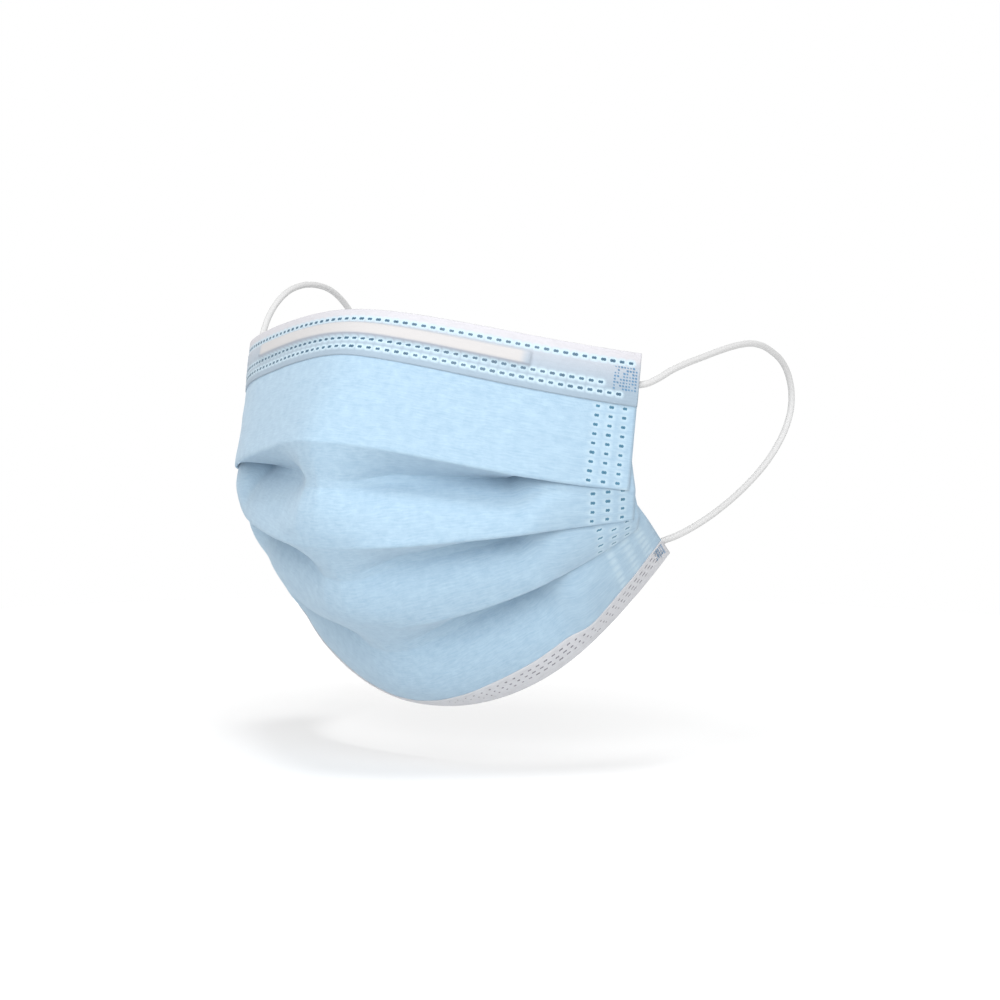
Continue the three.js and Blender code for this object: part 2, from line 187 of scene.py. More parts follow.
class MaskColours(bpy.types.PropertyGroup):
    """Colours of the mask."""

    cloth: colour_property("Cloth", "Outer ply", "#9ab4c7")
    cloth_pale: colour_property("Pale fibres", "Paler fibres of the outer ply", "#a3bdce")
    cloth_deep: colour_property("Deep fibres", "Denser fibres of the outer ply", "#8fabc0")
    inner: colour_property("Inner", "Inner ply", "#dde0e4")
    hem_edge: colour_property("Hem edge", "Hem where no blue lies under it", "#c4c3c8")
    hem_over_blue: colour_property("Hem over blue", "Hem over the blue cloth", "#94a6b5")
    wire: colour_property("Wire", "Wire seen through the hem", "#bdbbbb")
    # Painted shadow: a darker line on the hem along the lower side of the wire
    painted_wire_shadow: colour_property("Painted wire shadow", "Hem along the lower side of the wire", "#9599a6")
    lower_hem: colour_property("Lower hem", "Bottom hem", "#bfc0c4")
    weld: colour_property("Weld", "Fused weld marks of the top hem", "#466479")
    weld_side: colour_property("Side weld", "Fused weld marks of the sides", "#46738b")
    weld_lower: colour_property("Lower weld", "Fused marks of the bottom hem", "#77767e")
    weld_inner: colour_property("Inner weld", "Fused marks on the wearer's side", "#9db2c2")
    corner_dot: colour_property("Corner dots", "Dots of the corner welds", "#557b9b")
    halo: colour_property("Halo", "Thinned cloth round a weld", "#b8cdd8")
    elastic: colour_property("Elastic", "Ear loops", "#c5c5c5")
    # The floor also glows with painted light, set in stage
    floor: colour_property("Floor", "Table top with painted glow", "#bcbcbc")


# Small helpers for nodes and meshes


def add_node(tree, kind, inputs=None, **settings):
    """A node of a tree, with its settings. An input is a value, a socket to link from, or a node whose
    first working output is meant."""
    node = tree.nodes.new(kind)
    for name, value in settings.items():
        setattr(node, name, value)
    for key, value in (inputs or {}).items():
        if isinstance(value, bpy.types.Node):
            value = next(output for output in value.outputs if output.enabled)
        if isinstance(value, bpy.types.NodeSocket):
            tree.links.new(value, node.inputs[key])
        else:
            node.inputs[key].default_value = value
    return node


def new_material(name):
    """An empty material with its output node."""
    material = bpy.data.materials.new(name)
    material.use_nodes = True
    tree = material.node_tree
    tree.nodes.clear()
    return material, tree, add_node(tree, "ShaderNodeOutputMaterial")


def finish_material(tree, output, colour, roughness, height=None, relief=0.0, sheen=0.0, ior=1.49):
    """Links a colour, and a height of some relief, to a Principled shader, and sets the rest on it."""
    shader = add_node(tree, "ShaderNodeBsdfPrincipled", {"Base Color": colour})
    if height is not None:
        bump = add_node(tree, "ShaderNodeBump", {"Height": height, "Strength": 0.5, "Distance": relief})
        tree.links.new(bump.outputs["Normal"], shader.inputs["Normal"])
    shader.inputs["Roughness"].default_value = roughness
    shader.inputs["Sheen Weight"].default_value = sheen
    shader.inputs["Sheen Roughness"].default_value = 0.6
    shader.inputs["IOR"].default_value = ior
    shader.inputs["Emission Color"].default_value = (1.0, 1.0, 1.0, 1.0)
    tree.links.new(shader.outputs["BSDF"], output.inputs["Surface"])
    return shader


def shaded(colour, factor):
    """A colour made darker or paler."""
    return (*(min(1.0, channel * factor) for channel in colour[:3]), 1.0)


def set_stops(ramp, first, last, middle):
    """Gives a colour ramp its three stops, each a place and a colour."""
    stops = ramp.color_ramp.elements
    stops[0].position, stops[0].color = first
    stops[1].position, stops[1].color = last
    stops.new(middle[0]).color = middle[1]


def tinted(tree, colour, attribute, strength, tint):
    """A colour with a tint mixed in as far as a named value of the mesh says, times a strength."""
    share = add_node(tree, "ShaderNodeAttribute", attribute_name=attribute).outputs["Fac"]
    faint = add_node(tree, "ShaderNodeMath", {0: share, 1: strength}, operation="MULTIPLY")
    return add_node(tree, "ShaderNodeMix", {"Factor": faint, "A": colour, "B": tint}, data_type="RGBA")


def mesh_object(name, points, faces, materials, coordinates=None, values=None):
    """A smooth mesh object from points, with its cloth coordinates and named values on its points."""
    mesh = bpy.data.meshes.new(name)
    mesh.from_pydata([tuple(p) for p in points], [], faces)
    mesh.validate()
    mesh.polygons.foreach_set("use_smooth", [True] * len(mesh.polygons))
    for material in materials:
        mesh.materials.append(material)
    if coordinates is not None:
        layer = mesh.uv_layers.new(name="cloth")
        corners = np.zeros(len(mesh.loops), dtype=np.int32)
        mesh.loops.foreach_get("vertex_index", corners)
        layer.data.foreach_set("uv", coordinates[corners].astype(np.float32).ravel())
    for key, row in (values or {}).items():
        attribute = mesh.attributes.new(key, "FLOAT", "POINT")
        attribute.data.foreach_set("value", np.asarray(row, np.float32))
    mesh.update()
    made = bpy.data.objects.new(name, mesh)
    bpy.context.scene.collection.objects.link(made)
    return made


def plain_mesh(made):
    """Turns what an object's modifiers make into its own mesh, and removes the modifiers."""
    graph = bpy.context.evaluated_depsgraph_get()
    final = bpy.data.meshes.new_from_object(made.evaluated_get(graph))
    made.modifiers.clear()
    old = made.data
    made.data = final
    bpy.data.meshes.remove(old)
    final.name = made.name
    return made


def grid_faces(row_count, column_count):
    """Quads of a grid of points, facing away from the wearer when its rows run down and left."""
    faces = []
    for row in range(row_count - 1):
        for column in range(column_count - 1):
            first = row * column_count + column
            below = first + column_count
            faces.append((first, below, below + 1, first + 1))
    return faces


def unit(vectors):
    return vectors / np.linalg.norm(vectors, axis=-1, keepdims=True)


def smooth_step(low, high, value):
    share = np.clip((value - low) / (high - low), 0, 1)
    return share * share * (3 - 2 * share)


def run_along(points):
    """Length from the first point to each, along the first axis."""
    steps = np.linalg.norm(np.diff(points, axis=0), axis=-1)
    return np.concatenate([np.zeros_like(steps[:1]), np.cumsum(steps, axis=0)])


def add_wall(made, thickness, **settings):
    """Gives a sheet of faces its thickness, half to each side."""
    wall = made.modifiers.new("wall", "SOLIDIFY")
    wall.thickness = thickness
    wall.offset = 0
    wall.use_even_offset = True
    for name, value in settings.items():
        setattr(wall, name, value)
    return plain_mesh(made)


# The cloth


def soft_vee(share, softness):
    """Height of a soft V, from 0 at the middle to 1 at the side."""
    top = np.sqrt(share * share + softness * softness) - softness
    return top / (math.sqrt(1 + softness * softness) - softness)


def line_points(sizes, name, share):
    """Points of a line across the mask, at shares of the half width from -1 to 1."""
    line = dict(zip(LINE_FIELDS, LINES[name]))
    reach = np.abs(share)
    curled = reach ** SIDE_CURL_POWER
    depth = (1 - line["curl"]) * soft_vee(reach, line["ridge"]) + line["curl"] * curled
    height = (1 - line["lift"]) * soft_vee(reach, line["brow"]) + line["lift"] * curled
    middle_y = -sizes.seat_depth - line["front"] * sizes.nose_reach
    side_y = line["back"] * sizes.side_depth - sizes.seat_depth
    middle_z = -line["drop"] * sizes.worn_height
    side_z = -line["side_drop"] * sizes.worn_height
    x = line["span"] * sizes.half_span * share
    y = middle_y + (side_y - middle_y) * depth
    z = middle_z + (side_z - middle_z) * height
    return np.stack([x, y, z], axis=-1)


def along_line(sizes, name, share):
    after = line_points(sizes, name, share + SLOPE_STEP)
    return unit(after - line_points(sizes, name, share - SLOPE_STEP))


def squared_to(vector, axis):
    return unit(vector - axis * (vector * axis).sum(-1, keepdims=True))


def dot(first, second):
    return (first * second).sum(-1, keepdims=True)


def panel_rows(start, end, belly, steps, across, share):
    """Rows of a panel below its first row, swelling away from the wearer between its two ends."""
    inward = unit(np.cross(across, end - start))
    side_fade = np.minimum(1, (1 - np.abs(share)) / BELLY_FADE_RUN)[:, None]
    rows = []
    for step in range(1, steps + 1):
        along = step / steps
        swell = -belly * 4 * along * (1 - along) * side_fade
        rows.append(start + (end - start) * along + inward * swell)
    return rows


def fold_arc(start, bend, bulge, steps=4):
    """Rows round a fold, between its two layers."""
    rows = []
    for step in range(1, steps):
        angle = math.pi * step / steps
        rows.append(start + bend * (1 - math.cos(angle)) / 2 + bulge * math.sin(angle))
    return rows


def straight_rows(start, end, steps):
    return [start + (end - start) * (step / steps) for step in range(1, steps + 1)]


PANEL_STEPS = (58, 34, 34, 50)
FLAP_STEPS = 12
CHORD = 3 * MM  # stretch above a lip that gives the panel's direction there
NEXT_LAYER = 1.7  # layer pitches from a closed lip to the next panel behind it
FINE_FROM = 0.857  # share of the half width from which the columns stand closer together
FINE_COLUMNS, MIDDLE_COLUMNS = 19, 105
SOFTENING_PASSES = 2
PRESSED_SHARES = (0.88, 0.95)  # shares of the half width between which the layers get pressed together
LYING_TURN = (0.55, 0.95)  # how far closed a flap starts to lie on the cloth above, and lies on it
CLEAR_SHARES = (0.12, 0.85)  # least and most of the next panel's run before it is clear of the lip
# Width and height in millimetres of the dents and the creases, and the level that they read the noise at
DENT_NOISE = (24, 17, 2.7)
CREASE_NOISE = (15, 4.2, 8.1)
SIDE_CALM_RUN = 0.12  # share of the half width, at each side, over which the dents get shallower
SIDE_DENTS = 0.25  # share of their depth that the dents keep at the side edges
TOP_CALM_RUN = 24 * MM  # below the nose, over which the dents grow to their full depth


class Cloth:
    """The body cloth as a fine grid of rows, from the top edge to the bottom edge."""

    def __init__(self, sizes):
        self.sizes = sizes
        fine = np.linspace(FINE_FROM, 1, FINE_COLUMNS)
        middle = np.linspace(-FINE_FROM, FINE_FROM, MIDDLE_COLUMNS)
        self.share = np.concatenate([-fine[::-1][:-1], middle, fine[1:]])
        self.marks = {}
        self.rows = np.array(self.make_rows())
        self.soften(SOFTENING_PASSES)
        self.rows += self.dents()
        self.run = run_along(self.rows)

    def make_rows(self):
        sizes, share = self.sizes, self.share
        top = line_points(sizes, "top", share)
        first_lip = line_points(sizes, "first_lip", share)
        across = along_line(sizes, "top", share)
        rows = [top, *panel_rows(top, first_lip, 0, PANEL_STEPS[0], across, share)]
        self.marks["top"] = (0, len(rows) - 1)
        for index, pleat in enumerate(PLEATS):
            rows += self.pleat_rows(pleat, rows)
            start = len(rows) - 1
            after = line_points(sizes, pleat["next"], share)
            across = along_line(sizes, pleat["lip"], share)
            rows += panel_rows(rows[-1], after, pleat["belly"], PANEL_STEPS[index + 1], across, share)
            self.marks[pleat["next"]] = (start, len(rows) - 1)
        return rows

    def above_lip(self, rows, distance):
        """Points that lie a distance up the cloth from its last row."""
        upward = np.array(rows[::-1])
        run = run_along(upward)
        found = np.empty_like(upward[0])
        for column in range(upward.shape[1]):
            for axis in range(3):
                found[column, axis] = np.interp(distance, run[:, column], upward[:, column, axis])
        return found

    def pleat_rows(self, pleat, rows_above):
        """Rows round a lip, along its flap, round the flap's root and to where the next panel is clear.
        A closed flap lies along the cloth above it, and an open one is straight."""
        sizes, share = self.sizes, self.share
        pressed = smooth_step(*PRESSED_SHARES, np.abs(share))[:, None]
        pitch = sizes.layer_pitch + (sizes.side_pitch - sizes.layer_pitch) * pressed
        lip = rows_above[-1]
        after = line_points(sizes, pleat["next"], share)
        across = along_line(sizes, pleat["lip"], share)
        turn = np.radians(np.interp(np.abs(share), FLAP_SHARES, pleat["turn"]))[:, None]
        closed = (1 - np.cos(turn)) / 2
        lying = smooth_step(*LYING_TURN, closed)
        up = squared_to(self.above_lip(rows_above, CHORD) - lip, across)
        ahead = squared_to(after - lip, across)
        down = unit(ahead * (1 - closed) - up * closed)
        inward = unit(np.cross(across, down))
        bend = (inward * np.sin(turn / 2) + down * np.cos(turn / 2)) * pitch
        direction = inward * np.sin(turn) + down * np.cos(turn)
        round_out = np.sin(turn / 2) * pitch / 2
        rows = fold_arc(lip, bend, -up * round_out)

        for step in range(FLAP_STEPS + 1):
            distance = sizes.pleat_depth * step / FLAP_STEPS
            open_point = lip + bend + direction * distance
            here = self.above_lip(rows_above, distance)
            climb = squared_to(self.above_lip(rows_above, distance + 1 * MM) - here, across)
            behind = unit(np.cross(across, -climb))
            rows.append(open_point + (here + behind * pitch - open_point) * lying)
        root = rows[-1]
        root_bend = bend + (behind * pitch - bend) * lying
        rows += fold_arc(root, root_bend, unit(root - rows[-2]) * round_out)

        panel_root = root + root_bend
        panel = after - panel_root
        rise = np.maximum(0, dot(lip - panel_root, down))
        clear_share = np.clip(rise / dot(panel, down), *CLEAR_SHARES)
        clear = panel_root + panel * clear_share
        wanted = NEXT_LAYER * pitch - dot(clear - lip, inward)
        clear = clear + inward * wanted * closed ** 3
        rows += [panel_root, *straight_rows(panel_root, clear, FLAP_STEPS)]
        return rows

    def soften(self, passes):
        """Rounds the turns of each column a little."""
        for _ in range(passes):
            between = (self.rows[:-2] + 2 * self.rows[1:-1] + self.rows[2:]) / 4
            self.rows[1:-1] = between

    def outward(self, share):
        """Level direction away from the wearer at each share of the half width."""
        across = along_line(self.sizes, "top", share)
        return unit(np.cross(np.array([0.0, 0.0, -1.0]), across))

    def dents(self):
        """Shallow dents and creases. Layers that lie on each other move together."""
        rows, share, sizes = self.rows, self.share, self.sizes
        push = np.zeros(rows.shape[:2])
        for row in range(rows.shape[0]):
            for column in range(rows.shape[1]):
                x, _, z = rows[row, column] * 1000
                broad, crease = [
                    noise.noise(Vector((x / width, z / height, level)))
                    for width, height, level in (DENT_NOISE, CREASE_NOISE)
                ]
                push[row, column] = broad * sizes.dent_depth + crease * sizes.crease_depth
        calm = smooth_step(0, SIDE_CALM_RUN, 1 - np.abs(share)) * (1 - SIDE_DENTS) + SIDE_DENTS
        top_calm = smooth_step(0, TOP_CALM_RUN, -rows[..., 2])
        return (push * calm * top_calm)[..., None] * self.outward(share)

    def column(self, share):
        """The points of one column, and the run from the top edge to each."""
        place = np.interp(share, self.share, np.arange(len(self.share)))
        low = min(int(place), len(self.share) - 2)
        part = place - low
        points = self.rows[:, low] * (1 - part) + self.rows[:, low + 1] * part
        run = self.run[:, low] * (1 - part) + self.run[:, low + 1] * part
        return points, run

    def at_run(self, points, run, target):
        """The point at a run down a column, and the way down. Near an edge the cloth is taken as flat."""
        index = int(np.clip(np.searchsorted(run, target), 1, len(run) - 1))
        if index < 3:
            index = 1
        if index > len(run) - 3:
            index = len(run) - 1
        down = unit(points[index] - points[index - 1])
        return points[index - 1] + down * (target - run[index - 1]), down

    def place(self, share, distance, edge):
        """Point at a distance from the top or bottom edge, and the ways down, outward and across."""
        points, run = self.column(share)
        point, down = self.at_run(points, run, distance if edge == "top" else run[-1] - distance)
        across = along_line(self.sizes, edge, np.array([share]))[0]
        return point, down, unit(np.cross(down, across)), across

    def line_run(self, name):
        """Length along a line from its middle to each share, for shares from 0 to 1."""
        share = np.linspace(0, 1, 401)
        return share, run_along(line_points(self.sizes, name, share))

    def half_run(self, name):
        """Length along a line from its middle to a side edge."""
        return self.line_run(name)[1][-1]

    def share_at(self, name, distance):
        """Share of the half width at a signed distance along a line from its middle."""
        share, run = self.line_run(name)
        return math.copysign(float(np.interp(abs(distance), run, share)), distance)


# Weld marks


# For each hem, how far each row is shifted from the last, as a share of the pitch, and each row's distance
# from the edge and clear stretch at the side edges
HEM_ROWS = {
    "top": (0, ((3 * MM, 1.2 * MM), (10 * MM, 9.6 * MM), (12.9 * MM, 1.8 * MM))),
    "bottom": (0.3, ((7.8 * MM, 2.2 * MM), (5.9 * MM, 2.2 * MM), (4.1 * MM, 2.2 * MM))),
}


def hem_marks(cloth, edge, weld):
    """Places of the three rows of marks along a hem, as share and distance from the edge."""
    marks = []
    half = cloth.half_run(edge)
    shift, rows = HEM_ROWS[edge]
    for row, (distance, clear) in enumerate(rows):
        count = int((half - clear) / weld.pitch)
        for index in range(-count, count):
            along = (index + 0.5 + shift * row) * weld.pitch
            marks.append((cloth.share_at(edge, along), distance))
    return marks


SIDE_COLUMNS = (2.5 * MM, 5.6 * MM, 8.9 * MM)
SIDE_PITCH = 0.98  # of the hems' pitch
FIRST_ABOVE_LIP = 1.2 * MM
BELOW_LIP = 0.9 * MM  # a mark nearer than this below a lip is hidden by it
FLAP_MARGIN = 0.8 * MM  # cloth past a flap that it also hides on the wearer's side
# The lower end of each panel, and the lip that hangs over its start
PANELS = (("top", None), ("second_lip", "first_lip"), ("third_lip", "second_lip"), ("bottom", "third_lip"))
# Knurled patches of the corners: edge, nearest and farthest inset, nearest and farthest distance
CORNER_PATCHES = (
    ("top", (1.2 * MM, 8.6 * MM), (4.6 * MM, 12 * MM)),
    ("bottom", (1.6 * MM, 6 * MM), (3.2 * MM, 9 * MM)),
)


def side_marks(cloth, hem, weld):
    """Weld marks down both sides below the top hem, for the outer and the wearer's face of each panel.

    Each mark is its point, the direction across, the outward direction and the panel that it is on."""
    marks = []
    half = cloth.half_run("top")
    for share in [side * (1 - inset / half) for side in (-1, 1) for inset in SIDE_COLUMNS]:
        points, run = cloth.column(share)
        for number, (name, lip) in enumerate(PANELS):
            start, end = cloth.marks[name]
            highest = run[start - FLAP_STEPS] if lip else hem.top_height
            target = run[end] - FIRST_ABOVE_LIP - (hem.bottom_height if name == "bottom" else 0)
            covered = 0 if name == "bottom" else cloth.sizes.pleat_depth + FLAP_MARGIN
            while target > highest:
                point, down = cloth.at_run(points, run, target)
                slope = "first_lip" if number < 2 else "third_lip"
                across = squared_to(along_line(cloth.sizes, slope, np.array([share]))[0], down)
                shown = target > run[start]
                if lip and shown:
                    lip_point = line_points(cloth.sizes, lip, np.array([share]))[0]
                    shown = (point - lip_point) @ down > BELOW_LIP
                marks.append({
                    "point": point, "across": across, "outward": np.cross(down, across),
                    "panel": number, "shown": shown, "shown_inside": target < run[end] - covered,
                })
                target -= weld.pitch * SIDE_PITCH
    return marks


def corner_marks(cloth, edge, insets, distances, weld):
    """Dots of the knurled patches that fix the loop ends, at both corners of an edge."""
    chance = random.Random(weld.seed)
    half = cloth.half_run(edge)
    marks = []
    for side in (-1, 1):
        for distance in np.arange(*distances, weld.dot_pitch):
            for inset in np.arange(*insets, weld.dot_pitch):
                if chance.random() < weld.dots_kept:
                    marks.append((cloth.share_at(edge, side * (half - inset)), distance))
    return marks


def place_marks(cloth, marks, edge, out):
    """Point, direction across and outward direction of marks given as share and distance."""
    placed = []
    for share, distance in marks:
        point, _, outward, across = cloth.place(share, distance, edge)
        placed.append({"point": point + outward * out, "across": across, "outward": outward})
    return placed


HALO_LENGTH = 0.6  # of a mark's length, from one end of a halo's middle line to the other
HALO_CORE = 0.35  # of a halo's reach, which is pressed in fully


def nearness(points, marks, weld):
    """How near each point is to a weld mark, from 0 beyond its halo to 1 at its middle."""
    along = weld.length * HALO_LENGTH
    tree = kdtree.KDTree(3 * len(marks))
    for index, mark in enumerate(marks):
        for step in (-1, 0, 1):
            spot = mark["point"] + mark["across"] * along * step / 2
            tree.insert(Vector(spot), 3 * index + step + 1)
    tree.balance()
    distances = np.array([tree.find(Vector(p))[2] for p in points])
    return 1 - smooth_step(HALO_CORE * weld.halo, weld.halo, distances)


def mark_tree():
    """Geometry Nodes tree that stands a mark of two fused dots on each point of a mesh."""
    tree = bpy.data.node_groups.new("weld marks", "GeometryNodeTree")
    kinds = {"Geometry": "Geometry", "Seed": "Int", "Material": "Material"}
    for name in ("Dot length", "Width", "Height", "Shift", "Smallest", "Largest"):
        kinds[name] = "Float"
    for name, kind in kinds.items():
        tree.interface.new_socket(name, in_out="INPUT", socket_type=f"NodeSocket{kind}")
    tree.interface.new_socket("Geometry", in_out="OUTPUT", socket_type="NodeSocketGeometry")
    given = add_node(tree, "NodeGroupInput").outputs
    across, outward = [
        add_node(tree, "GeometryNodeInputNamedAttribute", {"Name": name}, data_type="FLOAT_VECTOR")
        for name in ("across", "outward")
    ]
    stand = add_node(tree, "FunctionNodeAlignRotationToVector", {"Vector": outward}, axis="Z")
    turn = add_node(
        tree, "FunctionNodeAlignRotationToVector", {"Rotation": stand, "Vector": across},
        axis="X", pivot_axis="Z",
    )
    dot_mesh = add_node(tree, "GeometryNodeMeshCylinder", {"Vertices": 8, "Radius": 0.52, "Depth": 1.0})
    scale = add_node(
        tree, "ShaderNodeCombineXYZ",
        {"X": given["Dot length"], "Y": given["Width"], "Z": given["Height"]},
    )
    pair = add_node(tree, "GeometryNodeJoinGeometry")
    for way in (1.0, -1.0):
        shift = add_node(tree, "ShaderNodeMath", {0: given["Shift"], 1: way}, operation="MULTIPLY")
        offset = add_node(tree, "ShaderNodeCombineXYZ", {"X": shift})
        moved = add_node(
            tree, "GeometryNodeTransform",
            {"Geometry": dot_mesh, "Translation": offset, "Rotation": (0.0, 0.0, math.pi / 8),
             "Scale": scale},
        )
        tree.links.new(moved.outputs["Geometry"], pair.inputs[0])
    varied = add_node(
        tree, "FunctionNodeRandomValue",
        {"Min": given["Smallest"], "Max": given["Largest"], "Seed": given["Seed"]}, data_type="FLOAT",
    )
    stood = add_node(
        tree, "GeometryNodeInstanceOnPoints",
        {"Points": given["Geometry"], "Instance": pair, "Rotation": turn, "Scale": varied},
    )
    real = add_node(tree, "GeometryNodeRealizeInstances", {"Geometry": stood})
    dressed = add_node(tree, "GeometryNodeSetMaterial", {"Geometry": real, "Material": given["Material"]})
    add_node(tree, "NodeGroupOutput", {"Geometry": dressed})
    return tree


def mark_sizes(weld, length, width, overlap, unevenness=0.1):
    """Inputs of the weld mark tree, for marks of two dots that overlap."""
    dot_length = (length + overlap) / 2
    return {
        "Dot length": dot_length, "Width": width, "Height": weld.height,
        "Shift": (dot_length - overlap) / 2, "Smallest": 1 - unevenness, "Largest": 1 + unevenness,
        "Seed": weld.seed,
    }


def stand_marks(name, marks, material, sizes):
    """A plain mesh of weld marks, one on each place, made with the weld mark tree."""
    tree = bpy.data.node_groups.get("weld marks") or mark_tree()
    mesh = bpy.data.meshes.new(name)
    mesh.from_pydata([tuple(m["point"]) for m in marks], [], [])
    for key in ("across", "outward"):
        attribute = mesh.attributes.new(key, "FLOAT_VECTOR", "POINT")
        attribute.data.foreach_set("vector", np.array([m[key] for m in marks], np.float32).ravel())
    made = bpy.data.objects.new(name, mesh)
    bpy.context.scene.collection.objects.link(made)
    modifier = made.modifiers.new("weld marks", "NODES")
    modifier.node_group = tree
    sockets = {s.name: s.identifier for s in tree.interface.items_tree if s.in_out == "INPUT"}
    for key, value in sizes.items():
        modifier[sockets[key]] = value
    modifier[sockets["Material"]] = material
    plain_mesh(made)
    made.data.materials.clear()
    made.data.materials.append(material)
    return made


# Materials


STREAK_LENGTH, STREAK_WIDTH = 4 * MM, 0.5 * MM
SWAY_SIZE, CLOUD_SIZE = 6 * MM, 3.2 * MM
FIBRE_SIZE = 0.45 * MM  # far coarser than real fibres, which would not show
CLOTH_RELIEF, HEM_RELIEF = 0.12 * MM, 0.1 * MM


def cloth_base(tree, deep, middle, pale):
    """Colour and height of spunbond cloth: fine wavy streaks of fibre across the width."""
    uv = add_node(tree, "ShaderNodeUVMap", uv_map="cloth")
    sway = add_node(tree, "ShaderNodeTexNoise", {"Vector": uv, "Scale": 1 / SWAY_SIZE, "Detail": 1.0})
    swayed = add_node(
        tree, "ShaderNodeMix", {"Factor": 0.0012, "A": uv, "B": sway.outputs["Color"]},
        data_type="VECTOR",
    )
    stretched = add_node(
        tree, "ShaderNodeMapping",
        {"Vector": swayed, "Scale": (1 / STREAK_LENGTH, 1 / STREAK_WIDTH, 1.0)},
    )
    streak, cloud, fibre = [
        add_node(
            tree, "ShaderNodeTexNoise",
            {"Vector": place, "Scale": scale, "Detail": detail, "Roughness": roughness},
        ).outputs["Fac"]
        for place, scale, detail, roughness in (
            (stretched, 1.0, 3.0, 0.6), (uv, 1 / CLOUD_SIZE, 4.0, 0.65), (uv, 1 / FIBRE_SIZE, 2.0, 0.7),
        )
    ]
    blended = add_node(tree, "ShaderNodeMath", {0: streak, 1: cloud}, operation="ADD")
    halved = add_node(tree, "ShaderNodeMath", {0: blended, 1: 0.5}, operation="MULTIPLY")
    ramp = add_node(tree, "ShaderNodeValToRGB", {"Fac": halved})
    set_stops(ramp, (0.34, deep), (0.66, pale), (0.5, middle))
    return ramp, add_node(tree, "ShaderNodeMath", {0: fibre, 1: halved}, operation="ADD")


def blue_nonwoven(colours):
    """Spunbond polypropylene, dyed light blue, thermally bonded: a matt felt of fine fibres that the eye
    reads as soft cloudy streaks, paler where the cloth is pressed thin round a weld."""
    material, tree, output = new_material("blue spunbond polypropylene")
    colour, height = cloth_base(tree, colours.cloth_deep, colours.cloth, colours.cloth_pale)
    colour = tinted(tree, colour, "weld", 0.6, colours.halo)
    finish_material(tree, output, colour, 0.85, height, CLOTH_RELIEF, sheen=0.15)
    return material


def white_nonwoven(colours):
    """Spunbond polypropylene without dye: the soft inner ply, bright and matt."""
    material, tree, output = new_material("white spunbond polypropylene")
    colour, height = cloth_base(tree, shaded(colours.inner, 0.92), colours.inner, colours.inner)
    finish_material(tree, output, colour, 0.85, height, CLOTH_RELIEF, sheen=0.15)
    return material


def top_hem_cloth(colours, hem):
    """White spunbond polypropylene over the blue ply: it takes a blue cast where the blue lies under
    it, stays near white above the first weld row, and turns cream where the wire pushes it out. Along
    the lower side of the wire a thin painted shadow darkens it."""
    material, tree, output = new_material("white spunbond polypropylene over blue")
    uv = add_node(tree, "ShaderNodeUVMap", uv_map="cloth")
    down = add_node(tree, "ShaderNodeSeparateXYZ", {"Vector": uv}).outputs["Y"]
    share = add_node(tree, "ShaderNodeMapRange", {"Value": down, "From Max": hem.top_height})
    ramp = add_node(tree, "ShaderNodeValToRGB", {"Fac": share})
    edge, over_blue = colours.hem_edge, colours.hem_over_blue
    between = tuple(0.55 * e + 0.45 * o for e, o in zip(edge, over_blue))
    set_stops(ramp, (0.13, edge), (0.75, over_blue), (0.22, between))
    streaked, height = cloth_base(tree, (0.9, 0.9, 0.9, 1), (0.96, 0.96, 0.96, 1), (1, 1, 1, 1))
    colour = add_node(
        tree, "ShaderNodeMix", {"Factor": 1.0, "A": ramp, "B": streaked}, data_type="RGBA",
        blend_type="MULTIPLY",
    )
    # Painted shadow: a thin darker line on the hem just below the wire, along the wire's length
    lower_side = hem.wire_inset + hem.wire_width + 0.3 * MM
    below_wire = add_node(tree, "ShaderNodeMath", {0: down, 1: lower_side}, operation="SUBTRACT")
    beside = add_node(tree, "ShaderNodeMath", {0: below_wire}, operation="ABSOLUTE")
    line = add_node(
        tree, "ShaderNodeMapRange",
        {"Value": beside, "From Min": 0.1 * MM, "From Max": 0.5 * MM, "To Min": 0.8, "To Max": 0.0},
    )
    colour = tinted(tree, colour, "wire", 1.0, colours.wire)
    colour = tinted(tree, colour, "span", line, colours.painted_wire_shadow)
    colour = tinted(tree, colour, "weld", 1.0, colours.halo)
    finish_material(tree, output, colour, 0.8, height, HEM_RELIEF, sheen=0.1)
    return material


def bottom_hem_cloth(colours):
    """Spunbond polypropylene folded under the chin: greyish white, as it is seen turned down."""
    material, tree, output = new_material("greyish spunbond polypropylene")
    grey = colours.lower_hem
    pale = shaded(grey, 1.08)
    colour, height = cloth_base(tree, shaded(grey, 0.88), grey, pale)
    colour = tinted(tree, colour, "weld", 0.35, pale)
    finish_material(tree, output, colour, 0.8, height, HEM_RELIEF, sheen=0.1)
    return material


def clouded(tree, size, deep, pale):
    """A colour that wanders between two in soft clouds of a size, and the height of the clouds."""
    place = add_node(tree, "ShaderNodeTexCoord").outputs["Object"]
    cloud = add_node(tree, "ShaderNodeTexNoise", {"Vector": place, "Scale": 1 / size, "Detail": 2.0})
    height = cloud.outputs["Fac"]
    mixed = add_node(tree, "ShaderNodeMix", {"Factor": height, "A": deep, "B": pale}, data_type="RGBA")
    return mixed, height


def fused_film(name, colour):
    """Polypropylene melted together by the welding horn: darker, smoother and slightly glossy."""
    material, tree, output = new_material(name)
    mixed, _ = clouded(tree, 2.3 * MM, shaded(colour, 0.7), shaded(colour, 1.5))
    finish_material(tree, output, mixed, 0.4)
    return material


def coated_wire(colours):
    """Steel core in white polyethylene: smooth, waxy and slightly glossy."""
    material, tree, output = new_material("polyethylene coated wire")
    mixed, height = clouded(tree, 4 * MM, shaded(colours.wire, 0.93), colours.wire)
    finish_material(tree, output, mixed, 0.35, height, 0.05 * MM, ior=1.51)
    return material


